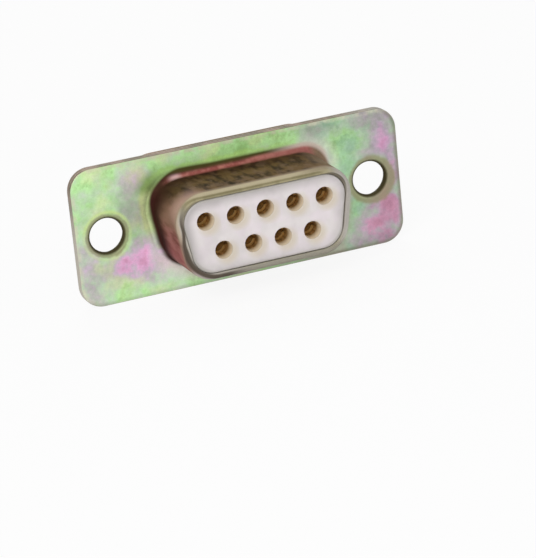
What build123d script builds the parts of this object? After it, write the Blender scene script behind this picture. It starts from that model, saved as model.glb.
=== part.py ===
"""Nine-way D-shaped socket connector with captive crimp contacts, in millimetres.

The model is drawn with +z ahead, towards the mating plug, and +y up. It is turned at the end so that
the mating face looks along -Y and +Z is up. The origin is the middle of the flange's front face.
"""

import os
from collections import namedtuple
from math import cos, radians, sin, tan

from build123d import *

# Flange and its two fixing holes
FLANGE_WIDTH = 30.81
FLANGE_HEIGHT = 12.55
FLANGE_CORNER_RADIUS = 2.0
HOLE_EDGE_DISTANCE = 2.91
HOLE_DIAMETER = 3.05
HOLE_ENTRY_CHAMFER = 0.25
SHELL_SHEET = 0.40

# Eyelets drawn out of the front flange, which hold the two shells together
EYELET_WALL = 0.28
EYELET_RIM_WIDTH = 0.45
EYELET_RIM_THICKNESS = 0.25
EYELET_CLEARANCE = 0.05
EYELET_SIDE_GAP = 0.35

# D-shaped walls: how they lie within the flange, bends and the lips that hold the insulators
D_SIDE_ANGLE = 10.0
FRONT_SIDE_STEP = 1.475
FRONT_HEIGHT = 7.90
FRONT_CORNER_RADIUS = 2.60
FRONT_REACH = 6.12
FRONT_ROOT_RADIUS = 0.65
FRONT_RIM_CHAMFER = 0.32
FRONT_LIP = 0.20
REAR_FLANGE_MARGIN = 0.915
REAR_CORNER_RADIUS = 3.20
REAR_ROOT_CHAMFER = 0.25
REAR_RIM_CHAMFER = 0.32
REAR_LIP = 0.90

# Contact layout, as seen from the front: the longer row is on top
CONTACT_PITCH = 2.77
ROW_PITCH = 2.84
ROW_END_MARGIN = 1.90

# Insulators: a front block behind the mating face and a rear block behind the joint
SHELL_CLEARANCE = 0.07
FRONT_SHOULDER = 1.58
REAR_SHOULDER = 1.92
REAR_PLUG_LENGTH = 0.93
ENTRY_FACE_DIAMETER = 1.70
ENTRY_DIAMETER = 1.40
ENTRY_DEPTH = 0.85

# Socket contact and the hood pressed over its front half
CONTACT_CLEARANCE = 0.05
CONTACT_DIAMETER = 1.64
BARREL_REACH = 5.50
WIRE_WELL_DIAMETER = 1.20
WIRE_WELL_DEPTH = 3.10
SOCKET_RECESS = 0.75
SOCKET_BORE_DIAMETER = 1.06
SOCKET_BORE_DEPTH = 4.80
SLOT_WIDTH = 0.22
SLOT_LENGTH = 4.20
HOOD_WALL = 0.13

# Stations along the mating axis, from the flange's front face
FLANGE_BACK = -2 * SHELL_SHEET
JOINT = -SHELL_SHEET - FRONT_SHOULDER
REAR_SEAT = JOINT - REAR_SHOULDER
INSULATOR_BACK = REAR_SEAT - REAR_PLUG_LENGTH
ENTRY_BACK = FRONT_REACH - ENTRY_DEPTH
HOOD_FRONT = ENTRY_BACK - CONTACT_CLEARANCE
SOCKET_FRONT = HOOD_FRONT - SOCKET_RECESS
BARREL_BACK = JOINT - BARREL_REACH

# Radii that follow from a fit
CONTACT_RADIUS = CONTACT_DIAMETER / 2
HOOD_RADIUS = CONTACT_RADIUS + HOOD_WALL
EYELET_RADIUS = HOLE_DIAMETER / 2 + EYELET_WALL
EYELET_RIM_RADIUS = EYELET_RADIUS + EYELET_RIM_WIDTH

# Outside sizes of the walls, from the flange inwards, and how many contacts the front one has room for
HOLE_SPACING = FLANGE_WIDTH - 2 * HOLE_EDGE_DISTANCE
REAR_WIDTH = HOLE_SPACING - 2 * (EYELET_RIM_RADIUS + EYELET_SIDE_GAP + REAR_ROOT_CHAMFER)
REAR_HEIGHT = FLANGE_HEIGHT - 2 * REAR_FLANGE_MARGIN
FRONT_WIDTH = REAR_WIDTH - 2 * FRONT_SIDE_STEP
TOP_ROW = 1 + int((FRONT_WIDTH - 2 * (SHELL_SHEET + ROW_END_MARGIN)) / CONTACT_PITCH)
BOTTOM_ROW = TOP_ROW - 1

# How near a flat face must lie to a station to count as being there
LEVEL_TOLERANCE = 1e-4

Outline = namedtuple("Outline", "width height corner_radius")
FRONT_OUTLINE = Outline(FRONT_WIDTH, FRONT_HEIGHT, FRONT_CORNER_RADIUS)
REAR_OUTLINE = Outline(REAR_WIDTH, REAR_HEIGHT, REAR_CORNER_RADIUS)


def grown(outline, distance):
    """The outline moved outwards by a distance all round, or inwards if it is negative."""
    return Outline(
        outline.width + 2 * distance,
        outline.height + 2 * distance,
        outline.corner_radius + distance,
    )


def d_face(outline):
    """D outline with leaning sides: the width is the overall one, across the upper corner arcs."""
    lean = radians(D_SIDE_ANGLE)
    half_height = outline.height / 2
    arc_x = outline.width / 2 - outline.corner_radius
    arc_y = half_height - outline.corner_radius
    middle = arc_x - (arc_y * sin(lean) - outline.corner_radius) / cos(lean)
    top = middle + half_height * tan(lean)
    bottom = middle - half_height * tan(lean)
    sharp = Polygon(
        (-bottom, -half_height),
        (bottom, -half_height),
        (top, half_height),
        (-top, half_height),
        align=None,
    )
    return fillet(sharp.vertices(), outline.corner_radius)


def d_block(outline, start, end):
    """D-shaped prism between two stations."""
    return Pos(0, 0, start) * extrude(d_face(outline), amount=end - start)


def taper(back_radius, front_radius, back, front):
    """Round bar on the axis between two stations, tapered where its two radii differ."""
    seat = (Align.CENTER, Align.CENTER, Align.MIN)
    if back_radius == front_radius:
        return Pos(0, 0, back) * Cylinder(back_radius, front - back, align=seat)
    return Pos(0, 0, back) * Cone(back_radius, front_radius, front - back, align=seat)


def rod(radius, back, front):
    """Round bar on the axis between two stations."""
    return taper(radius, radius, back, front)


def contact_places():
    """Contact axes in number order: each row runs from right to left, the longer row first."""
    rows = ((TOP_ROW, ROW_PITCH / 2), (BOTTOM_ROW, -ROW_PITCH / 2))
    return [
        (((count - 1) / 2 - i) * CONTACT_PITCH, height)
        for count, height in rows
        for i in range(count)
    ]


def at_each_contact(shape):
    """Copies of a shape on every contact axis."""
    return [Pos(x, y, 0) * shape for x, y in contact_places()]


def at_each_fixing_hole(shape):
    """Copies of a shape on both fixing-hole axes."""
    return [Pos(side * HOLE_SPACING / 2, 0, 0) * shape for side in (-1, 1)]


def level_face(body, height):
    """The largest flat face of a body at one station."""
    flat = body.faces().filter_by(Axis.Z)
    level = flat.filter_by(lambda face: abs(face.center().Z - height) < LEVEL_TOLERANCE)
    return level.sort_by(SortBy.AREA)[-1]


def drawn_shell(outline, reach, rim_chamfer, lip):
    """Flange with a D-shaped wall drawn out of it in one sheet, whose end turns in as a lip.

    The flange's outer face is at 0 and the wall stands up to reach.
    """
    inside = grown(outline, -SHELL_SHEET)
    wall = d_block(outline, 0, reach)
    wall = chamfer(level_face(wall, reach).edges(), rim_chamfer)
    sheet = RectangleRounded(FLANGE_WIDTH, FLANGE_HEIGHT, FLANGE_CORNER_RADIUS)
    shell = extrude(sheet, amount=-SHELL_SHEET) + wall
    shell -= d_block(inside, -SHELL_SHEET, reach - SHELL_SHEET)
    return shell - d_block(grown(inside, -lip), 0, reach)


def opening_edges(shell, height):
    """The edges where a shell's D-shaped wall meets its flange, on the flange's face at one station."""
    wires = level_face(shell, height).inner_wires()
    return wires.sort_by(SortBy.LENGTH)[-1].edges()


def front_shell():
    """Front shell: bent at the root of its wall, with two eyelets drawn back out of its flange."""
    shell = drawn_shell(FRONT_OUTLINE, FRONT_REACH, FRONT_RIM_CHAMFER, FRONT_LIP)
    shell = fillet(opening_edges(shell, 0), FRONT_ROOT_RADIUS)
    shell = chamfer(opening_edges(shell, -SHELL_SHEET), SHELL_SHEET)

    bore = HOLE_DIAMETER / 2
    rim_back = FLANGE_BACK - EYELET_RIM_THICKNESS
    eyelet = rod(EYELET_RADIUS, rim_back, -SHELL_SHEET)
    eyelet += rod(EYELET_RIM_RADIUS, rim_back, FLANGE_BACK)
    hole = rod(bore, rim_back, 0)
    hole += taper(bore, bore + HOLE_ENTRY_CHAMFER, -HOLE_ENTRY_CHAMFER, 0)
    return shell + at_each_fixing_hole(eyelet) - at_each_fixing_hole(hole)


def rear_shell():
    """Rear shell: the same forming, facing back, with holes that the eyelets pass through."""
    reach = FLANGE_BACK - REAR_SEAT + SHELL_SHEET
    shell = drawn_shell(REAR_OUTLINE, reach, REAR_RIM_CHAMFER, REAR_LIP)
    shell = chamfer(opening_edges(shell, 0), REAR_ROOT_CHAMFER)
    shell = Pos(0, 0, FLANGE_BACK) * Rot(0, 180, 0) * shell
    hole = rod(EYELET_RADIUS + EYELET_CLEARANCE, FLANGE_BACK, 0)
    return shell - at_each_fixing_hole(hole)


def shoulder_outline():
    """The D that both insulators fill inside the rear shell."""
    return grown(REAR_OUTLINE, -SHELL_SHEET - SHELL_CLEARANCE)


def front_insulator():
    """Front block: a nose in the front shell, a face within its rim and a shoulder behind its flange."""
    wall_inside = grown(FRONT_OUTLINE, -SHELL_SHEET)
    block = d_block(grown(wall_inside, -FRONT_LIP - SHELL_CLEARANCE), JOINT, FRONT_REACH)
    block += d_block(grown(wall_inside, -SHELL_CLEARANCE), JOINT, FRONT_REACH - SHELL_SHEET)
    block += d_block(shoulder_outline(), JOINT, -SHELL_SHEET)
    cavity = rod(HOOD_RADIUS + CONTACT_CLEARANCE, JOINT, ENTRY_BACK)
    cavity += taper(ENTRY_DIAMETER / 2, ENTRY_FACE_DIAMETER / 2, ENTRY_BACK, FRONT_REACH)
    return block - at_each_contact(cavity)


def rear_insulator():
    """Rear block: it closes the joint behind the hoods, and its plug shows through the rear shell."""
    plug_outline = grown(REAR_OUTLINE, -SHELL_SHEET - REAR_LIP - SHELL_CLEARANCE)
    block = d_block(plug_outline, INSULATOR_BACK, JOINT)
    block += d_block(shoulder_outline(), REAR_SEAT, JOINT)
    bore = rod(CONTACT_RADIUS + CONTACT_CLEARANCE, INSULATOR_BACK, JOINT)
    return block - at_each_contact(bore)


def contact():
    """Turned contact on the axis: a split socket for the pin in front, a crimp barrel for the wire behind."""
    body = rod(CONTACT_RADIUS, BARREL_BACK, SOCKET_FRONT)
    body -= rod(SOCKET_BORE_DIAMETER / 2, SOCKET_FRONT - SOCKET_BORE_DEPTH, SOCKET_FRONT)
    slot = Box(
        CONTACT_DIAMETER,
        SLOT_WIDTH,
        SLOT_LENGTH,
        align=(Align.CENTER, Align.CENTER, Align.MAX),
    )
    body -= Pos(0, 0, SOCKET_FRONT) * slot
    return body - rod(WIRE_WELL_DIAMETER / 2, BARREL_BACK, BARREL_BACK + WIRE_WELL_DEPTH)


def contact_hood():
    """Steel sleeve on the axis; its ends are caught between the two insulators."""
    return rod(HOOD_RADIUS, JOINT, HOOD_FRONT) - rod(CONTACT_RADIUS, JOINT, HOOD_FRONT)


def write(name, shape):
    """Turns a finished piece from the drawing's axes to the part's and writes it."""
    export_step(Rot(90, 0, 0) * shape, os.path.join("parts", name + ".step"))


def main():
    os.makedirs("parts", exist_ok=True)
    write("front_shell", front_shell())
    write("rear_shell", rear_shell())
    write("front_insulator", front_insulator())
    write("rear_insulator", rear_insulator())
    for name, piece in (("contact", contact()), ("contact_hood", contact_hood())):
        for number, placed in enumerate(at_each_contact(piece), start=1):
            write(f"{name}_{number}", placed)


main()
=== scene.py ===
"""Studio scene of a nine-way D-shaped socket connector with crimp contacts.

Sizes are in millimetres and become metres when a mesh is made. The mating face looks along -Y, +Z is up
and the origin is the middle of the flange's front face. Every surface is a loft along Y: closed outlines
in the XZ plane, stacked row by row.
"""

import logging
from dataclasses import dataclass, field
from enum import Enum
from math import cos, pi, radians, sin, tan
from typing import Sequence, Union

import bmesh
import bpy
import numpy as np
from mathutils import Euler, Matrix, Vector

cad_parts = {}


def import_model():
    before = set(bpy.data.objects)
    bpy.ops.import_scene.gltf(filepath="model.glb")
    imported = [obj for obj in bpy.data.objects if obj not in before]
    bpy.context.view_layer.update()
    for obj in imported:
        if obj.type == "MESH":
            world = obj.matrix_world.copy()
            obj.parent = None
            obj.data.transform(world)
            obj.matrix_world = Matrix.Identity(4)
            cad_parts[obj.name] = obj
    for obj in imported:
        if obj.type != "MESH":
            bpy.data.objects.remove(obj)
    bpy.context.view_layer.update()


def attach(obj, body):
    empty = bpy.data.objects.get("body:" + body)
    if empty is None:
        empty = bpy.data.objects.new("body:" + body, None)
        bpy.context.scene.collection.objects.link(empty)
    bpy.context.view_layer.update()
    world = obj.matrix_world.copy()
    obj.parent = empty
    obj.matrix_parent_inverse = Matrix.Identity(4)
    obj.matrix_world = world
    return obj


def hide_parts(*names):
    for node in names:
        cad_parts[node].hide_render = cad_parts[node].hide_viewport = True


MILLIMETRE = 0.001
BODY = "root"
CORNER_STEPS = 20
ROUND_STEPS = 64
EDGE_STEPS = 5
MOULD_STEPS = 6
ROLL_STEPS = 7
BEND_STEPS = 9
SHARP_ANGLE = radians(32.0)
SAME_POINT = 1e-9
NOISE_WAY = (1.0, 1.7, 2.3)
CLOUD_FADE = 1.35
WHITE = (1.0, 1.0, 1.0, 1.0)

log = logging.getLogger("connector")
Colour = tuple[int, int, int]
Place = tuple[float, float]
Corner = tuple[float, float, float]


class Slot(Enum):
    """Material slots named for the pieces; nothing reads them."""

    SHELL = "shell"
    INSULATOR = "insulator"
    CONTACT = "contact"
    HOOD = "hood"


class Facing(Enum):
    """The way along Y that a shell's wall stands out of its flange."""

    FORWARD = -1
    BACK = 1


def linear(colour: Colour) -> tuple[float, float, float, float]:
    """Turns a display colour of 0 to 255 into the linear one that a shader socket takes.

    Args:
        colour: Red, green and blue as seen on a display.

    Returns:
        Linear red, green and blue, and an alpha of one.
    """
    share = np.asarray(colour, float) / 255.0
    value = np.where(share <= 0.04045, share / 12.92, ((share + 0.055) / 1.055) ** 2.4)
    return (*value.tolist(), 1.0)


def rounded(corners: Sequence[Corner], steps: int) -> np.ndarray:
    """A path of straight runs whose corners are rounded by quarter circles.

    Round a corner, a point is the corner, less the radius along the way in times one minus the sine, plus
    the radius along the way out times one minus the cosine. Both ways are taken along the nearer axis.

    Args:
        corners: Offset, place along Y and radius of each corner; ends and sharp corners have no radius.
        steps: Points on each quarter circle.

    Returns:
        A row of the points' offsets and a row of their places along Y, without repeats.
    """
    table = np.array(corners, float)
    runs = np.diff(table[:, :2], axis=0)
    ways = np.sign(runs) * (np.abs(runs) >= np.abs(runs[:, ::-1]))
    none = np.zeros((1, 2))
    way_in, way_out = np.concatenate([none, ways]), np.concatenate([ways, none])
    angle = np.linspace(0.0, pi / 2, steps)[None, :, None]
    turn = (1.0 - np.cos(angle)) * way_out[:, None] - (1.0 - np.sin(angle)) * way_in[:, None]
    points = (table[:, None, :2] + table[:, None, 2:] * turn).reshape(-1, 2)
    moved = np.abs(np.diff(points, axis=0)).max(axis=1) > SAME_POINT
    return points[np.append(True, moved)].T


@dataclass(frozen=True)
class RoundedD:
    """D outline in the XZ plane: round corners, and sides that lean outwards going up.

    Attributes:
        width: Overall width, across the upper corner arcs.
        height: Overall height.
        radius: Radius of the four corners.
        lean: Lean of the sides from upright, in degrees; a plain rounded oblong has none.
    """

    width: float
    height: float
    radius: float
    lean: float = 0.0

    def rows(self, offsets: np.ndarray) -> np.ndarray:
        """The outline moved outwards by each of some distances.

        A point is its corner's centre plus the corner radius and the distance, along a direction that turns
        over that corner's arc.

        Args:
            offsets: Distances, one for each row.

        Returns:
            Points as an array of rows, columns and (x, z).
        """
        lean = radians(self.lean)
        rise = self.height / 2 - self.radius
        upper = self.width / 2 - self.radius
        lower = upper - 2 * rise * tan(lean)
        centres = np.array([(upper, rise), (-upper, rise), (-lower, -rise), (lower, -rise)])
        starts = np.array([-lean, pi / 2, pi + lean, 1.5 * pi])
        turns = np.array([pi / 2 + lean, pi / 2 + lean, pi / 2 - lean, pi / 2 - lean])
        angles = starts[:, None] + turns[:, None] * np.linspace(0.0, 1.0, CORNER_STEPS)[None, :]
        ways = np.stack([np.cos(angles), np.sin(angles)], axis=-1).reshape(-1, 2)
        middles = np.repeat(centres, CORNER_STEPS, axis=0)
        reach = self.radius + np.asarray(offsets, float)
        return middles[None] + reach[:, None, None] * ways[None]


@dataclass(frozen=True)
class Round:
    """Circle in the XZ plane, about an axis along Y."""

    x: float
    z: float

    def rows(self, radii: np.ndarray) -> np.ndarray:
        """Circles of some radii: the centre plus the radius along a direction that makes a full turn.

        Args:
            radii: Radii, one for each row.

        Returns:
            Points as an array of rows, columns and (x, z).
        """
        angles = np.linspace(0.0, 2 * pi, ROUND_STEPS, endpoint=False)
        ways = np.stack([np.cos(angles), np.sin(angles)], axis=-1)
        return np.array([self.x, self.z]) + np.asarray(radii, float)[:, None, None] * ways[None]


Outline = Union[RoundedD, Round]


@dataclass
class Profile:
    """Cross-section of a loft, as runs of (offset, y) that each belong to an outline."""

    points: list[np.ndarray] = field(default_factory=list)
    heights: list[np.ndarray] = field(default_factory=list)

    def add(self, outline: Outline, offsets: Sequence[float], heights: Sequence[float]) -> "Profile":
        """Adds a run of rows.

        Args:
            outline: The outline that the rows are parallel to.
            offsets: Distance of each row from the outline, or its radius if the outline is round.
            heights: Place of each row along Y.

        Returns:
            The profile itself.
        """
        self.points.append(outline.rows(np.asarray(offsets, float)))
        self.heights.append(np.asarray(heights, float))
        return self

    def solid(self, ring: bool = False) -> "Solid":
        """Stacks the rows into a closed surface.

        Neighbouring rows are joined by four-sided faces all round. A ring also joins its last row to its
        first, and anything else has its two ends capped.

        Args:
            ring: Whether the cross-section is a closed loop.

        Returns:
            The surface.
        """
        flat = np.concatenate(self.points)
        along = np.concatenate(self.heights)
        count, columns = flat.shape[:2]
        level = np.broadcast_to(along[:, None], (count, columns))
        vertices = np.stack([flat[..., 0], level, flat[..., 1]], axis=-1).reshape(-1, 3)
        row = np.arange(count if ring else count - 1)[:, None]
        column = np.arange(columns)[None, :]
        above, beside = (row + 1) % count, (column + 1) % columns
        corners = (
            row * columns + column,
            row * columns + beside,
            above * columns + beside,
            above * columns + column,
        )
        faces = np.stack(corners, axis=-1).reshape(-1, 4).tolist()
        if not ring:
            faces += [np.arange(columns).tolist(), ((count - 1) * columns + np.arange(columns)).tolist()]
        return Solid(vertices, faces)


@dataclass
class Solid:
    """Closed surface as plain arrays."""

    vertices: np.ndarray
    faces: list[list[int]]

    def mesh(self, name: str) -> bpy.types.Mesh:
        """Makes a mesh in millimetres whose faces point outwards.

        Args:
            name: Name of the mesh.

        Returns:
            The mesh.
        """
        mesh = bpy.data.meshes.new(name)
        mesh.from_pydata(self.vertices.tolist(), [], self.faces)
        work = bmesh.new()
        work.from_mesh(mesh)
        bmesh.ops.recalc_face_normals(work, faces=work.faces)
        work.to_mesh(mesh)
        work.free()
        return mesh


def turned(
    places: Sequence[Place], radii: Sequence[float], heights: Sequence[float], ring: bool = False
) -> Solid:
    """Equal round surfaces about axes along Y, as one.

    Args:
        places: The axes, as (x, z).
        radii: Radius of each row.
        heights: Place of each row along Y.
        ring: Whether the cross-section is a closed loop.

    Returns:
        One surface with the vertices and faces of all of them.
    """
    solids = [Profile().add(Round(x, z), radii, heights).solid(ring) for x, z in places]
    starts = np.cumsum([0] + [len(solid.vertices) for solid in solids])
    faces = [[int(start) + i for i in face] for solid, start in zip(solids, starts) for face in solid.faces]
    return Solid(np.concatenate([solid.vertices for solid in solids]), faces)


def cut_mesh(body: Solid, tool: Solid, name: str) -> bpy.types.Mesh:
    """Takes one surface's inside out of another.

    Args:
        body: The surface that is cut.
        tool: The surface whose inside is taken away.
        name: Name of the mesh.

    Returns:
        The cut mesh, in millimetres.
    """
    target = bpy.data.objects.new(name, body.mesh(name))
    cutter = bpy.data.objects.new(name + "_tool", tool.mesh(name + "_tool"))
    for thing in (target, cutter):
        bpy.context.scene.collection.objects.link(thing)
    difference = target.modifiers.new("cut", "BOOLEAN")
    difference.operation = "DIFFERENCE"
    difference.solver = "EXACT"
    difference.object = cutter
    graph = bpy.context.evaluated_depsgraph_get()
    mesh = bpy.data.meshes.new_from_object(target.evaluated_get(graph))
    for thing in (target, cutter):
        old = thing.data
        bpy.data.objects.remove(thing)
        bpy.data.meshes.remove(old)
    return mesh


def finished(
    mesh: bpy.types.Mesh, name: str, material: bpy.types.Material, slot: Slot, *nodes: str
) -> None:
    """Turns a mesh in millimetres into a finished piece that stands for nodes of the frame.

    Args:
        mesh: The mesh.
        name: Name of the piece.
        material: Its finish.
        slot: The material slot meant for the piece; not used.
        nodes: The nodes that the piece stands for.
    """
    mesh.transform(Matrix.Scale(MILLIMETRE, 4))
    mesh.name = name
    mesh.polygons.foreach_set("use_smooth", np.ones(len(mesh.polygons), bool))
    mesh.set_sharp_from_angle(angle=SHARP_ANGLE)
    mesh.materials.clear()
    mesh.materials.append(material)
    piece = bpy.data.objects.new(name, mesh)
    bpy.context.scene.collection.objects.link(piece)
    shading = piece.modifiers.new("even_shading", "WEIGHTED_NORMAL")
    shading.keep_sharp = True
    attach(piece, BODY)
    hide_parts(*nodes)
    log.info("%s: %d faces, stands for %s", name, len(mesh.polygons), ", ".join(nodes))


Number = Union["Wire", float]
Tone = Union["Wire", Colour]


class Wire:
    """A value socket of a material, on which arithmetic adds Math nodes."""

    def __init__(self, graph: "Graph", socket: bpy.types.NodeSocket) -> None:
        """Wraps an output socket of a graph's node tree."""
        self.graph = graph
        self.socket = socket

    def math(self, operation: str, *values: Number) -> "Wire":
        """Adds a Math node.

        Args:
            operation: The node's operation.
            values: Its inputs, in order.

        Returns:
            The node's result.
        """
        return self.graph.make("ShaderNodeMath", {"operation": operation}, dict(enumerate(values)))

    def __add__(self, other: Number) -> "Wire":
        """Sum."""
        return self.math("ADD", self, other)

    def __radd__(self, other: float) -> "Wire":
        """Sum, with a number in front."""
        return self.math("ADD", other, self)

    def __sub__(self, other: Number) -> "Wire":
        """Difference."""
        return self.math("SUBTRACT", self, other)

    def __rsub__(self, other: float) -> "Wire":
        """Difference, with a number in front."""
        return self.math("SUBTRACT", other, self)

    def __mul__(self, other: Number) -> "Wire":
        """Product."""
        return self.math("MULTIPLY", self, other)

    def __rmul__(self, other: float) -> "Wire":
        """Product, with a number in front."""
        return self.math("MULTIPLY", other, self)

    def __abs__(self) -> "Wire":
        """Size without sign."""
        return self.math("ABSOLUTE", self)

    def most(self, other: Number) -> "Wire":
        """The larger of two values."""
        return self.math("MAXIMUM", self, other)

    def least(self, other: Number) -> "Wire":
        """The smaller of two values."""
        return self.math("MINIMUM", self, other)

    def length(self, other: "Wire") -> "Wire":
        """Length of the right-angled pair of two values."""
        total = self * self + other * other
        return total.math("SQRT", total)

    def rise(self, low: float, high: float) -> "Wire":
        """Goes smoothly from nought at a low value to one at a high value.

        Args:
            low: Where the step starts.
            high: Where it ends.

        Returns:
            The step.
        """
        settings = {"interpolation_type": "SMOOTHSTEP"}
        return self.graph.make("ShaderNodeMapRange", settings, {0: self, 1: low, 2: high, 3: 0.0, 4: 1.0})

    def fall(self, low: float, high: float) -> "Wire":
        """Goes smoothly from one at a low value to nought at a high value."""
        return 1.0 - self.rise(low, high)

    def between(self, low: float, high: float, soft: float) -> "Wire":
        """One inside a band of values and nought outside it.

        Args:
            low: Lower edge of the band.
            high: Upper edge of the band.
            soft: Half the width over which an edge fades.

        Returns:
            The band.
        """
        return self.rise(low - soft, low + soft) * self.fall(high - soft, high + soft)


class Graph:
    """Node tree of a material or of the surroundings."""

    def __init__(self, owner: Union[bpy.types.Material, bpy.types.World]) -> None:
        """Starts an empty tree.

        Args:
            owner: What the tree belongs to.
        """
        owner.use_nodes = True
        self.tree = owner.node_tree
        self.tree.nodes.clear()

    def make(self, kind: str, settings: dict, inputs: dict, output: Union[int, str] = 0) -> Wire:
        """Adds any node.

        Args:
            kind: The node's type.
            settings: Its properties, which are set before its sockets.
            inputs: Values or links, by socket index or name.
            output: The socket to go on from.

        Returns:
            That output socket.
        """
        node = self.tree.nodes.new(kind)
        for key, value in settings.items():
            setattr(node, key, value)
        for key, value in inputs.items():
            if isinstance(value, Wire):
                self.tree.links.new(value.socket, node.inputs[key])
            else:
                node.inputs[key].default_value = value
        return Wire(self, node.outputs[output] if node.outputs else None)

    def seen_directly(self) -> Wire:
        """One for rays from the camera and for rays that a shiny or clear surface sends on."""
        kinds = ("Is Camera Ray", "Is Glossy Ray", "Is Transmission Ray")
        camera, glossy, clear = [self.make("ShaderNodeLightPath", {}, {}, kind) for kind in kinds]
        return camera.most(glossy).most(clear)


class Paint(Graph):
    """Node tree of a material, with the place on the object in millimetres at hand."""

    def __init__(self, name: str) -> None:
        """Starts a material.

        Args:
            name: Name of the material.
        """
        self.material = bpy.data.materials.new(name)
        super().__init__(self.material)
        metres = self.make("ShaderNodeTexCoord", {}, {}, "Object")
        scaling = {"operation": "SCALE"}
        self.place = self.make("ShaderNodeVectorMath", scaling, {0: metres, "Scale": 1.0 / MILLIMETRE})
        self.x, self.y, self.z = [
            self.make("ShaderNodeSeparateXYZ", {}, {0: self.place}, axis) for axis in ("X", "Y", "Z")
        ]

    def noise(
        self,
        scale: float,
        detail: float = 3.0,
        shift: float = 0.0,
        stretch: tuple[float, float, float] = (1.0, 1.0, 1.0),
    ) -> Wire:
        """Cloudy value between nought and one.

        Args:
            scale: Clouds in each millimetre.
            detail: Layers of finer clouds.
            shift: Moves the pattern, so that two noises differ.
            stretch: Scale along each axis.

        Returns:
            The value.
        """
        location = tuple(shift * part for part in NOISE_WAY)
        moved = self.make("ShaderNodeMapping", {}, {0: self.place, "Location": location, "Scale": stretch})
        return self.make("ShaderNodeTexNoise", {}, {"Vector": moved, "Scale": scale, "Detail": detail})

    def uneven(self, scale: float, detail: float, shift: float) -> Wire:
        """Cloudy value about nought, with the scale, detail and shift of a noise."""
        return self.noise(scale, detail, shift) - 0.5

    def blend(self, share: Number, below: Tone, above: Tone) -> Wire:
        """Mixes two colours.

        Args:
            share: How much of the second colour there is.
            below: The first colour.
            above: The second colour.

        Returns:
            The mixed colour.
        """
        ends = [side if isinstance(side, Wire) else linear(side) for side in (below, above)]
        return self.make("ShaderNodeMix", {"data_type": "RGBA"}, {0: share, 6: ends[0], 7: ends[1]}, 2)

    def coats(self, ground: Tone, *layers: tuple[Number, Tone]) -> Wire:
        """Lays one or more colours over a ground.

        Args:
            ground: The lowest colour.
            layers: How much there is of each further colour, and the colour.

        Returns:
            What shows on top.
        """
        for share, colour in layers:
            ground = self.blend(share, ground, colour)
        return ground

    def ramp(self, share: Wire, stops: Sequence[tuple[float, Colour]]) -> Wire:
        """Looks a value up in a row of colours.

        Args:
            share: The value, from nought to one.
            stops: Places and colours, in order.

        Returns:
            The colour.
        """
        colour = self.make("ShaderNodeValToRGB", {}, {0: share})
        elements = colour.socket.node.color_ramp.elements
        for place, _ in stops[2:]:
            elements.new(place)
        for element, (place, shown) in zip(elements, stops):
            element.position = place
            element.color = linear(shown)
        return colour

    def shade(self, colour: Wire, share: Number) -> Wire:
        """A colour times a value.

        Args:
            colour: The colour.
            share: The value.

        Returns:
            The darker or lighter colour.
        """
        grey = self.make("ShaderNodeCombineColor", {}, {0: share, 1: share, 2: share})
        settings = {"data_type": "RGBA", "blend_type": "MULTIPLY"}
        return self.make("ShaderNodeMix", settings, {0: 1.0, 6: colour, 7: grey}, 2)

    def bump(self, height: Wire, strength: float, distance: float) -> Wire:
        """Surface relief.

        Args:
            height: The relief's height, from nought to one.
            strength: How much of it shows.
            distance: What a height of one stands for, in millimetres.

        Returns:
            The normal.
        """
        inputs = {"Height": height, "Strength": strength, "Distance": distance * MILLIMETRE}
        return self.make("ShaderNodeBump", {}, inputs)

    def surface(self, **sockets: Union[Wire, float, tuple]) -> bpy.types.Material:
        """Ends the material in a Principled shader.

        Args:
            sockets: The shader's sockets, with an underscore for a space.

        Returns:
            The material.
        """
        inputs = {name.replace("_", " "): value for name, value in sockets.items()}
        shader = self.make("ShaderNodeBsdfPrincipled", {}, inputs)
        self.make("ShaderNodeOutputMaterial", {}, {"Surface": shader})
        return self.material

    def outline_distance(self, outline: RoundedD) -> Wire:
        """Distance from a D outline in the XZ plane, below nought inside it.

        The leaning side is made upright by its own lean, and the corner is the length of how far a point
        lies beyond both straight sides.

        Args:
            outline: The outline.

        Returns:
            The distance in millimetres.
        """
        lean = radians(outline.lean)
        rise = outline.height / 2 - outline.radius
        half = (outline.width / 2 - outline.radius) * cos(lean) - rise * sin(lean)
        across = abs(self.x) * cos(lean) - self.z * sin(lean) - half
        up = abs(self.z) - rise
        outside = across.most(0.0).length(up.most(0.0))
        return outside + across.most(up).least(0.0) - outline.radius


@dataclass(frozen=True)
class Cloud:
    """A place on a flange where the chromate film is thicker or thinner than around it, and where shade is
    painted on the plating.

    Attributes:
        film: How much thicker the film is in the middle.
        x: Its middle across the flange.
        z: Its middle up the flange.
        width: Half its width.
        height: Half its height.
        dull: How much darker the middle is painted, partly as shade there and partly as uneven plating; below
            nought it paints light.
    """

    film: float
    x: float
    z: float
    width: float
    height: float
    dull: float = 0.0

    def share(self, paint: Paint, sway: Wire) -> Wire:
        """One in the middle of the cloud and nought outside it.

        Args:
            paint: The material's paint.
            sway: Unevenness of the cloud's edge.

        Returns:
            The share.
        """
        across = (paint.x - self.x) * (1.0 / self.width)
        up = (paint.z - self.z) * (1.0 / self.height)
        return (across.length(up) + sway).fall(0.0, CLOUD_FADE)


# A cloud's dull value paints shade on the flange in part, and paints light where it is below nought.
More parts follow.
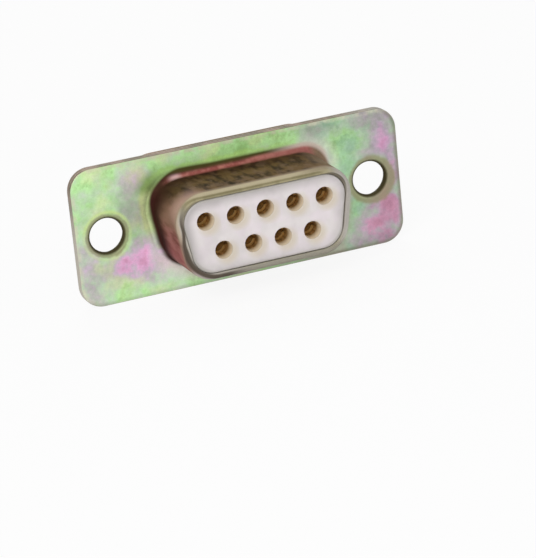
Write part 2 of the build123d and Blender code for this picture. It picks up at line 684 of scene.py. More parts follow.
FRONT_CLOUDS = (
    Cloud(0.34, -9.7, 4.6, 1.8, 1.7, -0.04),
    Cloud(0.10, -9.9, 1.5, 1.5, 3.0, 0.34),
    Cloud(0.42, -10.0, -2.9, 2.1, 1.7),
    Cloud(0.44, -8.7, -2.8, 2.2, 2.0),
    Cloud(0.28, -12.6, -3.5, 2.2, 1.7, 0.1),
    Cloud(0.34, -14.2, -5.4, 1.8, 1.2, 0.1),
    Cloud(0.28, -14.6, -1.3, 1.5, 2.6, 0.06),
    Cloud(-0.10, 1.0, 5.4, 7.6, 2.0, -0.04),
    Cloud(0.30, 7.6, 5.4, 2.4, 1.3, 0.4),
    Cloud(-0.08, 9.8, 3.2, 2.2, 1.9, 0.06),
    Cloud(0.50, 13.8, 3.0, 1.9, 2.1, 0.05),
    Cloud(0.30, 13.4, 5.7, 3.0, 1.3, 0.22),
    Cloud(0.54, 13.4, -3.3, 2.1, 2.6, 0.1),
    Cloud(0.30, 14.4, -3.0, 1.6, 2.4, 0.05),
    Cloud(0.06, 13.0, -4.6, 2.4, 1.6),
    Cloud(0.26, 11.3, -4.6, 2.6, 2.0, -0.06),
    Cloud(-0.1, 10.8, -2.6, 0.9, 1.0),
    Cloud(0.28, 9.4, -1.4, 1.2, 1.8, -0.1),
    Cloud(0.32, 14.8, 0.3, 1.3, 3.2, 0.12),
    Cloud(0.25, 13.0, -5.8, 3.0, 1.0, 0.2),
)
REAR_CLOUDS = (
    Cloud(0.62, 10.8, 3.6, 2.4, 1.8),
    Cloud(0.72, -13.4, -3.4, 1.9, 2.2),
    Cloud(0.28, -11.4, 4.4, 2.6, 1.4),
    Cloud(0.30, 13.6, -4.2, 2.0, 1.8, 0.1),
    Cloud(-0.15, -12.6, 0.4, 2.2, 2.4),
)
THICKEST_FILM = 0.93
FILM_COLOURS: tuple[tuple[float, Colour], ...] = (
    (0.00, (146, 190, 120)),
    (0.18, (178, 220, 156)),
    (0.34, (186, 208, 178)),
    (0.50, (188, 188, 182)),
    (0.64, (198, 182, 196)),
    (0.82, (222, 172, 206)),
    (1.00, (202, 142, 172)),
)
# Where the wall's left side, and the left half of a shell, run into the rest across.
LEFT_SIDE = (-7.8, -5.2)
MIDDLE = (-4.0, 4.0)


@dataclass(frozen=True)
class Wall:
    """The D-shaped wall that a sheet is drawn into.

    Attributes:
        outline: Its outside.
        facing: The way that it stands out of the flange.
        face: Place of the flange's outer face along Y.
        reach: Its height.
        lip: How far its rim turns in from its inside.
        root: Radius of the bend at its root.
    """

    outline: RoundedD
    facing: Facing
    face: float
    reach: float
    lip: float
    root: float

    def level(self, heights: Sequence[float]) -> np.ndarray:
        """Places along Y of some heights above the flange."""
        return self.face + self.facing.value * np.asarray(heights, float)


@dataclass(frozen=True)
class ChromateFinish:
    """Zinc plating under a thin chromate film, which turns from green through grey to rose as it thickens.

    The flat flange shows the film's colours under painted light and shade. The drawn wall is bronze, its top
    painted darker than its side, with painted shade and a painted rose reflection at its root, and it is
    lighter towards its rim.

    Attributes:
        name: Name of the material.
        wall: The drawn wall.
        sheet: Thickness of the sheet.
        flange: Outline of the flange.
        hole_place: Distance of a fixing hole's axis from the middle.
        hole_radius: Radius of the bare round in the flange.
        clouds: Uneven places in the film.
    """

    name: str
    wall: Wall
    sheet: float
    flange: RoundedD
    hole_place: float
    hole_radius: float
    clouds: tuple[Cloud, ...]

    def material(self) -> bpy.types.Material:
        """Plating and film, laid on by a shell's own paint."""
        return ShellPaint(self).dressed()


class ShellPaint(Paint):
    """Paint of a shell, which knows how far a place lies from the wall, the flange and the holes."""

    def __init__(self, finish: ChromateFinish) -> None:
        """Starts a shell's material.

        Args:
            finish: The shell's finish.
        """
        super().__init__(finish.name)
        self.finish = finish
        self.reach = finish.wall.reach
        self.root = finish.wall.root
        self.distance = self.outline_distance(finish.wall.outline)
        self.height = (self.y - finish.wall.face) * float(finish.wall.facing.value)
        self.from_hole = (abs(self.x) - finish.hole_place).length(self.z) - finish.hole_radius
        self.left = self.x.fall(*MIDDLE)
        self.right = self.x.rise(*MIDDLE)

    def flange_colour(self) -> Wire:
        """Colour of the flange: the film's own by its thickness, under tints that lie round the wall, times a
        brightness that paints light and shade.

        Returns:
            The colour.
        """
        x, z, distance, root = self.x, self.z, self.distance, self.root
        drift = self.uneven(0.28, 3.0, 0.0)
        mottle = self.uneven(0.9, 5.0, 11.0)
        speck = self.uneven(3.2, 3.0, 17.0)
        sway = 1.3 * self.uneven(0.6, 5.0, 23.0)
        film = 0.24 + 0.5 * drift + 0.5 * mottle + 0.16 * speck
        # Painted light and shade: the flange is painted darker towards the right and lighter near the wall,
        # with random unevenness on top.
        light = 1.08 - 0.22 * x.rise(-4.0, 11.0) + 0.34 * distance.fall(0.5, 2.8)
        light = light + 0.4 * self.uneven(0.8, 4.0, 29.0) + 0.34 * speck
        for cloud in self.finish.clouds:
            share = cloud.share(self, sway)
            film = film + cloud.film * share
            # Painted shade from the clouds, and painted light where a dull value is below nought.
            light = light - cloud.dull * share
        # Painted shade on the root bend at the wall's left side.
        light = light - 0.62 * distance.fall(0.4 * root, 1.3 * root) * x.fall(*LEFT_SIDE)
        straw = self.noise(0.42, 4.0, 71.0).rise(0.46, 0.66) * x.fall(1.0, 7.0) * film.fall(0.45, 0.7)
        teal = self.noise(0.5, 4.0, 79.0).rise(0.38, 0.6) * x.rise(5.0, 9.0) * film.fall(0.3, 0.5)
        # A yellow band round the root of the wall, partly the film's own yellow and partly a painted
        # highlight on the root bend.
        halo = (distance + 0.6 * mottle).fall(1.3 * root, 1.9 * root) * x.fall(2.0, 7.0) * z.rise(-1.6, 1.0)
        yellow = self.blend(z.rise(3.0, 4.4), (206, 218, 142), (172, 212, 118))
        # Painted shade on the flange along the upper left of the wall, darkest beyond its corner.
        painted_corner_shade = 0.25 * x.fall(-4.0, -1.0) + 0.5 * x.fall(-8.4, -7.0)
        painted_corner_shade = painted_corner_shade * (distance + 0.5 * mottle).fall(0.9, 1.9) * z.rise(2.6, 3.6)
        pale = (distance + 0.8 * mottle).fall(0.6, 1.9) * x.rise(5.6, 7.4) * z.rise(0.5, 2.5)
        # Painted shade on the flange below the lower left of the wall.
        painted_foot_shade = (distance + 1.2 * mottle).fall(0.5, 2.2) * z.fall(-3.4, -1.8) * x.fall(-3.0, 1.0)
        khaki = (x - 0.25 * z + 1.2 * mottle).fall(10.6, 11.4) * z.fall(-1.6, 0.2) * x.rise(5.0, 7.0)
        dusky = film.rise(0.5, 0.85) * x.rise(9.0, 12.5) * z.fall(0.0, 2.0)
        colour = self.coats(
            self.ramp(film.least(THICKEST_FILM), FILM_COLOURS),
            (straw * 0.4, (214, 218, 160)),
            (teal * 0.5, (150, 190, 170)),
            (halo * 0.65, yellow),
            (painted_corner_shade, (112, 142, 76)),
            (pale * 0.7, (196, 192, 184)),
            (painted_foot_shade * 0.85, (188, 170, 172)),
            (khaki * 0.8, (188, 184, 168)),
            (dusky * 0.55, (206, 150, 168)),
        )
        return self.shade(colour, light)

    def hole_colour(self, colour: Wire) -> Wire:
        """Adds the olive ring of a fixing hole, painted widest on the right hole's right side as shade, the
        hole's wall painted dark as the shade inside it, and a painted highlight round the upper side of the
        left hole.

        Args:
            colour: Colour of the flange.

        Returns:
            The colour with the ring and the wall.
        """
        hole = self.from_hole
        uneven = hole + 0.5 * self.uneven(0.8, 3.0, 61.0)
        # Painted highlight round the upper side of the left hole.
        glow = hole.between(0.45, 0.75, 0.15) * self.left * (0.4 + 0.35 * self.z.rise(0.0, 1.6))
        # The olive ring is painted wider on the right hole's right side, as the shade there.
        wide = uneven - 0.09 * (self.x - self.finish.hole_place) + 0.05 * self.z
        ring = wide.fall(0.5, 0.9) * self.right + uneven.fall(0.35, 0.6) * self.left
        olive = self.blend(self.right, (146, 144, 108), (144, 139, 103))
        return self.coats(
            colour,
            (glow, (202, 222, 146)),
            (ring * 0.8, olive),
            # The hole's wall is painted dark, as the shade inside it.
            (hole.fall(0.08, 0.32), (70, 64, 42)),
        )

    def edge_colour(self, colour: Wire) -> Wire:
        """Adds the flange's cream border, partly wear and partly a painted highlight on the top and left, a
        painted shade line along the right and bottom, and its brown cut edge.

        Args:
            colour: Colour without the border.

        Returns:
            The colour with the border.
        """
        x, z = self.x, self.z
        edge = self.outline_distance(self.finish.flange)
        patchy = self.noise(1.1, 3.0, 31.0).rise(0.36, 0.6)
        # Painted light and shade: the cream border stays on the top and left, and a darker line runs along
        # the right and bottom.
        shaded = x.rise(13.4, 15.0).most(z.fall(-6.1, -5.3))
        wear_and_edge_highlight = edge.rise(-0.5, -0.2) * patchy * 0.65 * (1.0 - shaded)
        painted_shading_line = edge.rise(-0.5, -0.12) * shaded * (0.3 + 0.3 * x.rise(0.0, 10.0))
        cut = self.coats(
            (114, 106, 90),
            (self.noise(0.7, 3.0, 37.0).rise(0.42, 0.6), (138, 122, 108)),
            (x.rise(9.0, 14.0) * 0.6, (162, 160, 152)),
            (z.fall(-1.0, 5.4) * 0.85, (188, 182, 170)),
        )
        return self.coats(
            colour,
            (wear_and_edge_highlight, (212, 206, 184)),
            (painted_shading_line, (118, 110, 96)),
            (edge.rise(-0.09, -0.02), cut),
        )

    def wall_colour(self) -> Wire:
        """Colour of the drawn wall, from its root to its rim, with painted shade and highlights.

        Returns:
            The colour.
        """
        x, z, height, reach = self.x, self.z, self.height, self.reach
        mottle = self.noise(1.4, 2.5, 3.0, (1.0, 0.4, 1.0))
        blotch = self.noise(1.1, 3.0, 7.0, (1.0, 0.5, 1.0))
        upper = z.rise(2.3, 3.7)
        right_end = x.rise(4.8, 7.4)
        corner = z.rise(0.8, 3.0) * x.fall(-7.6, -4.2)
        # Painted shade along the root of the wall, less on the top and none at the right end.
        deep = height.fall(0.8, 3.2) * (1.0 - 0.5 * upper) * (1.0 - right_end)
        side = self.coats(
            (122, 72, 64),
            (mottle.rise(0.35, 0.65), (158, 104, 96)),
            (z.fall(-2.6, 0.0) * 0.6, (172, 104, 104)),
            (z.rise(0.0, 1.8) * 0.7, (136, 108, 88)),
            (z.fall(-3.3, -2.4) * 0.7, (104, 84, 72)),
        )
        # The top is painted darker than the side, as the dark surroundings that it reflects.
        top = self.coats(
            (38, 26, 12),
            (mottle.rise(0.32, 0.66), (98, 76, 46)),
            (blotch.rise(0.48, 0.66) * 0.6, (112, 90, 70)),
        )
        return self.coats(
            side,
            (upper, top),
            (right_end * 0.8, (130, 110, 90)),
            # Painted shade low in the upper left corner, and a painted highlight near the rim there.
            (height.fall(1.6, 4.4) * corner * 0.75, (56, 38, 24)),
            (height.rise(3.2, reach - 0.4) * corner * 0.85, (188, 154, 140)),
            (height.rise(reach - 1.0, reach - 0.3) * 0.6, (160, 142, 120)),
            (deep, (58, 30, 26)),
        )

    def root_colour(self, colour: Wire) -> Wire:
        """Adds the rose line along the root of the upper wall, a painted reflection in the root bend, and the
        line where the flange ends, painted as shade at the left and as a highlight at the right.

        Args:
            colour: Colour of the wall.

        Returns:
            The colour with both lines.
        """
        x, z, height, root = self.x, self.z, self.height, self.root
        cloud = self.noise(1.3, 3.0, 83.0)
        # Painted reflection in the root bend, with a painted highlight at its left end.
        painted_rose_reflection = self.coats(
            (148, 82, 78),
            (cloud.rise(0.38, 0.62), (182, 116, 108)),
            (x.rise(-1.0, 4.0) * 0.6, (152, 98, 92)),
            (x.between(-6.4, -5.4, 0.4) * 0.8, (226, 186, 188)),
        )
        along = z.rise(2.9, 3.7) * x.rise(-7.4, -5.6) * x.fall(6.6, 7.8)
        band = (height + 0.4 * x.rise(0.0, 4.0)).rise(0.0, 0.3) * (height + 0.3 * cloud).fall(0.45, 0.95)
        # Painted shade at the left and a painted highlight at the right, where the flange ends.
        painted_shading_line = self.blend(x.rise(2.5, 6.5), (72, 66, 34), (196, 180, 168))
        end = self.distance.rise(0.3 * root, 0.8 * root) * z.rise(1.8, 3.2)
        return self.coats(colour, (band * along, painted_rose_reflection), (end, painted_shading_line))

    def rim_colour(self) -> Wire:
        """Colour of the rim where it turns in, with painted highlights, painted light and shade that differ
        from side to side, and painted shade lines.

        Returns:
            The colour.
        """
        x, z, distance = self.x, self.z, self.distance
        inside = -self.finish.sheet - self.finish.wall.lip
        cloud = self.noise(0.9, 3.0, 5.0)
        # Painted highlight on the rim's outer rounding, with a painted shade line inside it along the top.
        outer = distance.rise(-0.38, -0.1)
        inner = abs(distance + 0.34).fall(0.04, 0.13) * z.rise(2.4, 3.2) * x.fall(4.8, 6.2)
        painted_crest_highlight = self.blend(x.rise(2.5, 5.5), (178, 167, 139), (150, 138, 114))
        cream = self.coats(
            (142, 135, 106),
            (cloud.rise(0.4, 0.6), (160, 152, 122)),
            (outer, painted_crest_highlight),
            (inner * 0.5, (100, 92, 56)),
        )
        # Painted light and shade: the rim is painted grey on its right side, darker at the bottom, and in its
        # own tones at the lower left.
        painted_right_shading = self.blend(outer, (170, 164, 157), (184, 181, 172))
        left = self.coats(
            (138, 114, 104),
            (z.rise(-0.8, 0.8), (182, 165, 145)),
            (z.fall(-3.5, -2.4), (192, 182, 176)),
        )
        low_left = (x * -0.1 - z * 0.08).rise(0.42, 0.7)
        # Painted shadow line along the lower left of the rim.
        painted_rim_shadow = abs(distance + 0.24 + 0.24 * z.rise(-0.5, 1.2))
        painted_rim_shadow = (painted_rim_shadow * (1.0 + 0.7 * z.rise(-1.8, 0.2))).fall(0.12, 0.36)
        corner = x.rise(5.2, 6.6) * (0.35 + 0.65 * abs(z).rise(1.6, 2.6))
        return self.coats(
            cream,
            (x.rise(5.8, 7.4), painted_right_shading),
            (z.fall(-3.6, -2.6), (150, 145, 132)),
            (low_left, self.blend(outer, (178, 172, 162), left)),
            (painted_rim_shadow * low_left * 0.95, (82, 72, 62)),
            # Painted shade in the gap at the rim's inner edge, darkest at the right corners.
            (distance.fall(inside + 0.02, inside + 0.1) * corner * 0.9, (74, 69, 62)),
            (distance.fall(inside - 0.01, inside + 0.05) * 0.6, (120, 112, 96)),
        )

    def on_wall(self) -> Wire:
        """One on the wall and nought on the flange; the wall's dark film starts later at the left side.

        Returns:
            The share.
        """
        x, z, root = self.x, self.z, self.root
        left = (0.28 * z.rise(-3.4, -2.2) + 0.12 * z.rise(0.5, 2.0)) * x.fall(*LEFT_SIDE)
        top = (0.36 + 0.14 * x.fall(-5.0, -2.0)) * z.rise(2.4, 4.0) * x.rise(*LEFT_SIDE)
        return (self.distance + root * (left - top)).fall(0.42 * root, root)

    def dressed(self) -> bpy.types.Material:
        """Mixes flange, wall and rim by place, with satin grain and edges lightened by wear and by painted
        highlight.

        Returns:
            The material.
        """
        on_wall = self.on_wall()
        on_rim = self.height.rise(self.reach - 0.42, self.reach - 0.2)
        colour = self.coats(
            self.edge_colour(self.hole_colour(self.flange_colour())),
            (on_wall, self.root_colour(self.wall_colour())),
            (on_rim, self.rim_colour()),
        )
        grain = self.noise(9.0, 2.0, 41.0)
        dull = on_wall.most(self.from_hole.fall(0.12, 0.34))
        return self.surface(
            Base_Color=self.shade(colour, 0.9 + 0.2 * grain),
            Metallic=0.6 - 0.42 * dull,
            Roughness=0.3 + 0.14 * self.noise(2.2, 4.0, 53.0) + 0.22 * dull,
            Specular_IOR_Level=0.02,
            Normal=self.bump(grain, 0.12, 0.02),
        )


@dataclass(frozen=True)
class ContactLayout:
    """Where the contacts sit: a long row above a short one, half a pitch apart."""

    pitch: float = 2.77
    row_pitch: float = 2.84
    long_row: int = 5

    def places(self) -> list[Place]:
        """Contact axes as (x, z) in number order, each row from right to left, the long row first."""
        rows = ((self.long_row, self.row_pitch / 2), (self.long_row - 1, -self.row_pitch / 2))
        return [(((count - 1) / 2 - i) * self.pitch, z) for count, z in rows for i in range(count)]


@dataclass(frozen=True)
class MouldedFinish:
    """White moulded nylon with a faint matt grain, with painted shade round its border and painted light and
    shade inside its mouths.

    Attributes:
        name: Name of the material.
        outline: Outline that the border follows.
        border: Place of the border, as a distance from the outline.
        face: Place of the front face along Y.
        layout: Where the mouths are.
        mouth_radius: Radius of a mouth.
        colour: Its colour.
        mist: Its colour in pale clouds.
        shadow: Its colour in dull clouds and round the border.
        edge: Its colour where the border ends, painted as the shade of the gap there.
        warm: Its colour by the mouths, painted as the light that the contacts throw on it.
        lit: Its colour where a mouth's wall catches the light.
        deep: Its colour at the bottom of a mouth, painted as the shade there and the gold light that the
            contacts throw.
    """

    name: str
    outline: RoundedD
    border: float
    face: float
    layout: ContactLayout
    mouth_radius: float
    colour: Colour = (221, 212, 215)
    mist: Colour = (218, 214, 210)
    shadow: Colour = (178, 172, 171)
    edge: Colour = (150, 147, 134)
    warm: Colour = (202, 190, 168)
    lit: Colour = (224, 207, 180)
    deep: Colour = (164, 134, 90)

    def from_mouth(self, paint: Paint) -> tuple[Wire, Wire]:
        """How far a place lies from the nearest mouth's axis.

        The lower row stands half a pitch aside, so its places are moved back before they are snapped to the
        pitch.

        Args:
            paint: The material's paint.

        Returns:
            The distances across and up.
        """
        pitch, row_pitch = self.layout.pitch, self.layout.row_pitch
        lower = paint.z.math("LESS_THAN", paint.z, 0.0)
        aside = paint.x - 0.5 * pitch * lower
        end = (self.layout.long_row - 1) / 2 * pitch
        nearest = aside.math("SNAP", aside + 0.5 * pitch, pitch).most(-end).least(end - pitch * lower)
        return aside - nearest, paint.z + row_pitch * (lower - 0.5)

    def material(self) -> bpy.types.Material:
        """Cloudy white with a fine grain, painted shade round the border and painted light and shade in the
        mouths.

        Returns:
            The material.
        """
        paint = Paint(self.name)
        x, reach = paint.x, self.mouth_radius
        cloud = paint.noise(0.5, 3.0).rise(0.35, 0.7)
        grain = paint.noise(14.0, 2.0, 9.0)
        distance = paint.outline_distance(self.outline)
        # Painted shade round the border, strongest at the top and the left end.
        ends = 0.35 * x.fall(-7.2, -5.4) - 0.1 * x.rise(5.4, 7.2)
        border = distance.rise(self.border - 1.2, self.border + 0.05)
        border = border * (0.5 + 0.45 * paint.z.rise(-2.5, 2.0) + ends)
        across, up = self.from_mouth(paint)
        # Painted light that the contacts throw, to the lower right of each mouth.
        glow = (across - 0.3).length(up + 0.3).fall(0.7 * reach, 1.7 * reach)
        depth = paint.y - self.face
        hollow = across.length(up).fall(reach, reach + 0.08)
        colour = paint.coats(
            self.colour,
            (paint.noise(0.9, 3.0, 19.0).rise(0.4, 0.6) * 0.5, self.mist),
            (0.3 * cloud + border, self.shadow),
            (distance.rise(self.border - 0.32, self.border) * 0.55, self.edge),
            (glow * 0.75, self.warm),
            (hollow * depth.rise(0.0, 0.15), self.lit),
            # Painted shade and gold light deeper in a mouth.
            (hollow * depth.rise(0.2, 1.0), self.deep),
        )
        return paint.surface(
            Base_Color=colour,
            Roughness=0.38 + 0.14 * grain,
            Normal=paint.bump(grain, 0.1, 0.01),
        )


@dataclass(frozen=True)
class Band:
    """A ring of marking ink on a contact's barrel: its colour and where it starts and ends along Y."""

    colour: Colour
    start: float
    end: float


@dataclass(frozen=True)
class GoldFinish:
    """Gold plating with rings of marking ink at the wire end.

    Attributes:
        name: Name of the material.
        bands: The ink rings.
        socket: Where the socket ends along Y.
        tip: Where the contact starts along Y.
        colour: Its colour.
        shadow: Its colour in the lines that turning leaves.
    """

    name: str
    bands: tuple[Band, ...]
    socket: float
    tip: float
    colour: Colour = (212, 168, 96)
    shadow: Colour = (188, 144, 76)

    def material(self) -> bpy.types.Material:
        """Turned gold, matt in the socket and painted darker at the tip as the shade there, whose ink rings
        have slightly uneven edges.

        Returns:
            The material.
        """
        paint = Paint(self.name)
        lathe = paint.noise(1.0, 2.0, 3.0, (1.0, 14.0, 1.0))
        along = paint.y + 0.12 * paint.uneven(1.6, 3.0, 5.0)
        colour = paint.blend(lathe.rise(0.3, 0.7), self.shadow, self.colour)
        ink = 0.0
        for band in self.bands:
            share = along.between(band.start, band.end, 0.04)
            colour = paint.blend(share, colour, band.colour)
            ink = share + ink
        matt = paint.y.fall(self.socket - 0.5, self.socket)
        return paint.surface(
            # Painted shade at the tip, deep in the mouth.
            Base_Color=paint.shade(colour, 1.0 - 0.35 * paint.y.fall(self.tip + 0.1, self.tip + 0.3)),
            Metallic=1.0 - 0.85 * ink - 0.8 * matt,
            Roughness=0.24 + 0.12 * lathe + 0.3 * matt,
            Normal=paint.bump(lathe, 0.08, 0.01),
        )


@dataclass(frozen=True)
class SteelFinish:
    """Drawn steel painted gold, as the gold light that the contact inside throws on it: its name, its colour
    and its colour in the lines along the draw.
    """

    name: str
    colour: Colour = (216, 182, 126)
    shadow: Colour = (178, 142, 88)

    def material(self) -> bpy.types.Material:
        """Steel with streaks along the axis.

        Returns:
            The material.
        """
        paint = Paint(self.name)
        streak = paint.noise(4.0, 3.0, 3.0, (1.0, 0.08, 1.0))
        return paint.surface(
            Base_Color=paint.blend(streak.rise(0.35, 0.65), self.shadow, self.colour),
            Metallic=0.6,
            Roughness=0.3 + 0.14 * streak,
            Normal=paint.bump(streak, 0.1, 0.01),
        )


@dataclass
class Shells:
    """The two pressed steel shells and the eyelets that hold them together."""

    flange: RoundedD
    front: RoundedD
    rear: RoundedD
    sheet: float = 0.40
    hole_place: float = 12.495
    hole_radius: float = 1.525
    hole_flare: float = 0.38
    hole_overcut: float = 0.03
    front_reach: float = 6.12
    front_lip: float = 0.20
    front_root: float = 0.65
    rear_reach: float = 3.50
    rear_lip: float = 0.90
    rear_root: float = 0.32
    edge_radius: float = 0.09
    lip_edge: float = 0.07
    lip_bevel: float = 0.05
    eyelet_wall: float = 0.28
    eyelet_step: float = 0.005
    eyelet_start: float = 0.36
    eyelet_gap: float = 0.05
    eyelet_rim: float = 0.45
    eyelet_rim_thickness: float = 0.25
    eyelet_swage: float = 0.18
    eyelet_roll: float = 0.14
    eyelet_edge: float = 0.10

    def walls(self) -> tuple[Wall, Wall]:
        """The wall that takes the plug, and the one round the crimp barrels."""
        front = Wall(self.front, Facing.FORWARD, 0.0, self.front_reach, self.front_lip, self.front_root)
        rear = Wall(self.rear, Facing.BACK, 2 * self.sheet, self.rear_reach, self.rear_lip, self.rear_root)
        return front, rear

    def hole_places(self) -> list[Place]:
        """Axes of the fixing holes as (x, z)."""
        return [(-self.hole_place, 0.0), (self.hole_place, 0.0)]

    def pressed(self, wall: Wall) -> Solid:
        """One sheet whose flange runs into a wall, which turns in at its end as a lip.

        The cross-section is followed from the flange's back edge over its front face, up the bend at the root
        and the wall, round the rim, down the inside and back along the flange. Each bend is a quarter circle.

        Args:
            wall: The wall.

        Returns:
            The sheet as a closed surface.
        """
        edge, nip, sheet, bevel = self.edge_radius, self.lip_edge, self.sheet, self.lip_bevel
        root, reach = wall.root, wall.reach
        inner, under = sheet + wall.lip, reach - sheet
        border = [(-edge, -sheet, 0.0), (0.0, -sheet, edge), (0.0, 0.0, edge), (-edge, 0.0, 0.0)]
        outside = [(root, 0.0, 0.0), (0.0, 0.0, root), (0.0, reach, sheet), (-sheet, reach, 0.0)]
        inside = [
            (nip - inner, reach, 0.0),
            (-inner, reach, nip),
            (-inner, under, 0.0),
            (-sheet - bevel, under, 0.0),
            (-sheet, under - bevel, 0.0),
            (-sheet, 0.0, 0.0),
            (0.0, -sheet, 0.0),
        ]
        runs = (
            (self.flange, border, EDGE_STEPS),
            (wall.outline, outside, BEND_STEPS),
            (wall.outline, inside, EDGE_STEPS),
        )
        profile = Profile()
        for outline, corners, steps in runs:
            offsets, heights = rounded(corners, steps)
            profile.add(outline, offsets, wall.level(heights))
        return profile.solid(ring=True)

    def hole_tools(self) -> Solid:
        """Trumpets that open the fixing holes: a quarter circle from the flange's face down to the bore.

        Returns:
            Both trumpets.
        """
        flare, bore, over = self.hole_flare, self.hole_radius, self.hole_overcut
        corners = [(bore + flare + over, -over, 0.0), (bore, 0.0, flare), (bore, 2 * self.sheet, 0.0)]
        return turned(self.hole_places(), *rounded(corners, BEND_STEPS))

    def rear_hole_tools(self) -> Solid:
        """Round bars that open the rear flange for the eyelets."""
        radius = self.hole_radius + self.eyelet_wall + self.eyelet_gap
        return turned(self.hole_places(), [radius, radius], [0.2 * self.sheet, 4 * self.sheet])

    def eyelets(self) -> Solid:
        """Tubes behind the fixing holes, whose ends are rolled over the rear flange as round-edged rims.

        Returns:
            Both tubes.
        """
        bore = self.hole_radius + self.eyelet_step
        tube = self.hole_radius + self.eyelet_wall
        rim = tube + self.eyelet_rim
        seat = 2 * self.sheet
        back = seat + self.eyelet_rim_thickness
        corners = [
            (bore, self.eyelet_start, 0.0),
            (bore + self.eyelet_swage, back, self.eyelet_roll),
            (rim, back, self.eyelet_edge),
            (rim, seat, self.eyelet_edge),
            (tube, seat, 0.0),
            (tube, self.eyelet_start, 0.0),
        ]
        return turned(self.hole_places(), *rounded(corners, ROLL_STEPS), ring=True)

    def build(self) -> None:
        """Makes both shells."""
        front, rear = self.walls()
        sheet, flange, place = self.sheet, self.flange, self.hole_place
        mesh = cut_mesh(self.pressed(front), self.hole_tools(), "front_shell_sheet")
        work = bmesh.new()
        work.from_mesh(mesh)
        rings = self.eyelets().mesh("eyelets")
        work.from_mesh(rings)
        work.to_mesh(mesh)
        work.free()
        bpy.data.meshes.remove(rings)
        finish = ChromateFinish("chromate_front", front, sheet, flange, place, self.hole_radius, FRONT_CLOUDS)
        finished(mesh, "front_shell_sheet", finish.material(), Slot.SHELL, "front_shell")
        mesh = cut_mesh(self.pressed(rear), self.rear_hole_tools(), "rear_shell_sheet")
        rim = self.hole_radius + self.eyelet_wall + self.eyelet_rim
        finish = ChromateFinish("chromate_rear", rear, sheet, flange, place, rim, REAR_CLOUDS)
        finished(mesh, "rear_shell_sheet", finish.material(), Slot.SHELL, "rear_shell")


@dataclass
class Insulators:
    """The white mouldings that carry the contacts."""

    front: RoundedD
    rear: RoundedD
    layout: ContactLayout
    nose_gap: float = 0.47
    face_gap: float = 0.63
    face: float = -6.12
    step: float = -5.72
    joint: float = 1.98
    face_edge: float = 0.16
    mouth_radius: float = 0.80
    throat_radius: float = 0.70
    throat: float = -5.27
    mouth_edge: float = 0.05
    cavity_radius: float = 1.00
    plug_gap: float = 1.37
    back: float = 4.83
    back_edge: float = 0.20
    bore_radius: float = 0.87
    overcut: float = 0.02
    overrun: float = 0.5

    def nose(self) -> Solid:
        """Front block: its long nose, the step that the shell's lip holds, and a round-edged face.

        Returns:
            The block.
        """
        nose, front, edge = -self.nose_gap, -self.face_gap, self.face_edge
        corners = [
            (nose, self.joint, 0.0),
            (nose, self.step, 0.0),
            (front, self.step, 0.0),
            (front, self.face, edge),
            (front - edge, self.face, 0.0),
        ]
        return Profile().add(self.front, *rounded(corners, MOULD_STEPS)).solid()

    def entries(self) -> Solid:
        """Cavities that open through tapered, round-edged entries.

        Returns:
            What they take out of the front block.
        """
        mouth, cavity, edge, over = self.mouth_radius, self.cavity_radius, self.mouth_edge, self.overcut
        corners = [
            (mouth + edge + over, self.face - over, 0.0),
            (mouth, self.face, edge),
            (self.throat_radius, self.throat, 0.0),
            (cavity, self.throat, 0.0),
            (cavity, self.joint + self.overrun, 0.0),
        ]
        return turned(self.layout.places(), *rounded(corners, MOULD_STEPS))

    def plug(self) -> Solid:
        """Rear block with a round edge at its back.

        Returns:
            The block.
        """
        side, edge = -self.plug_gap, self.back_edge
        corners = [(side, self.joint, 0.0), (side, self.back, edge), (side - edge, self.back, 0.0)]
        return Profile().add(self.rear, *rounded(corners, MOULD_STEPS)).solid()

    def bores(self) -> Solid:
        """Bores that the crimp barrels leave through, with round mouths.

        Returns:
            What they take out of the rear block.
        """
        bore, edge, over = self.bore_radius, self.mouth_edge, self.overcut
        corners = [
            (bore, self.joint - self.overrun, 0.0),
            (bore, self.back, edge),
            (bore + edge + over, self.back + over, 0.0),
        ]
        return turned(self.layout.places(), *rounded(corners, MOULD_STEPS))

    def build(self) -> None:
        """Makes both mouldings."""
        finish = MouldedFinish(
            "moulded_white", self.front, -self.face_gap, self.face, self.layout, self.mouth_radius
        )
        material = finish.material()
        mesh = cut_mesh(self.nose(), self.entries(), "front_insulator_block")
        finished(mesh, "front_insulator_block", material, Slot.INSULATOR, "front_insulator")
        mesh = cut_mesh(self.plug(), self.bores(), "rear_insulator_block")
        finished(mesh, "rear_insulator_block", material, Slot.INSULATOR, "rear_insulator")


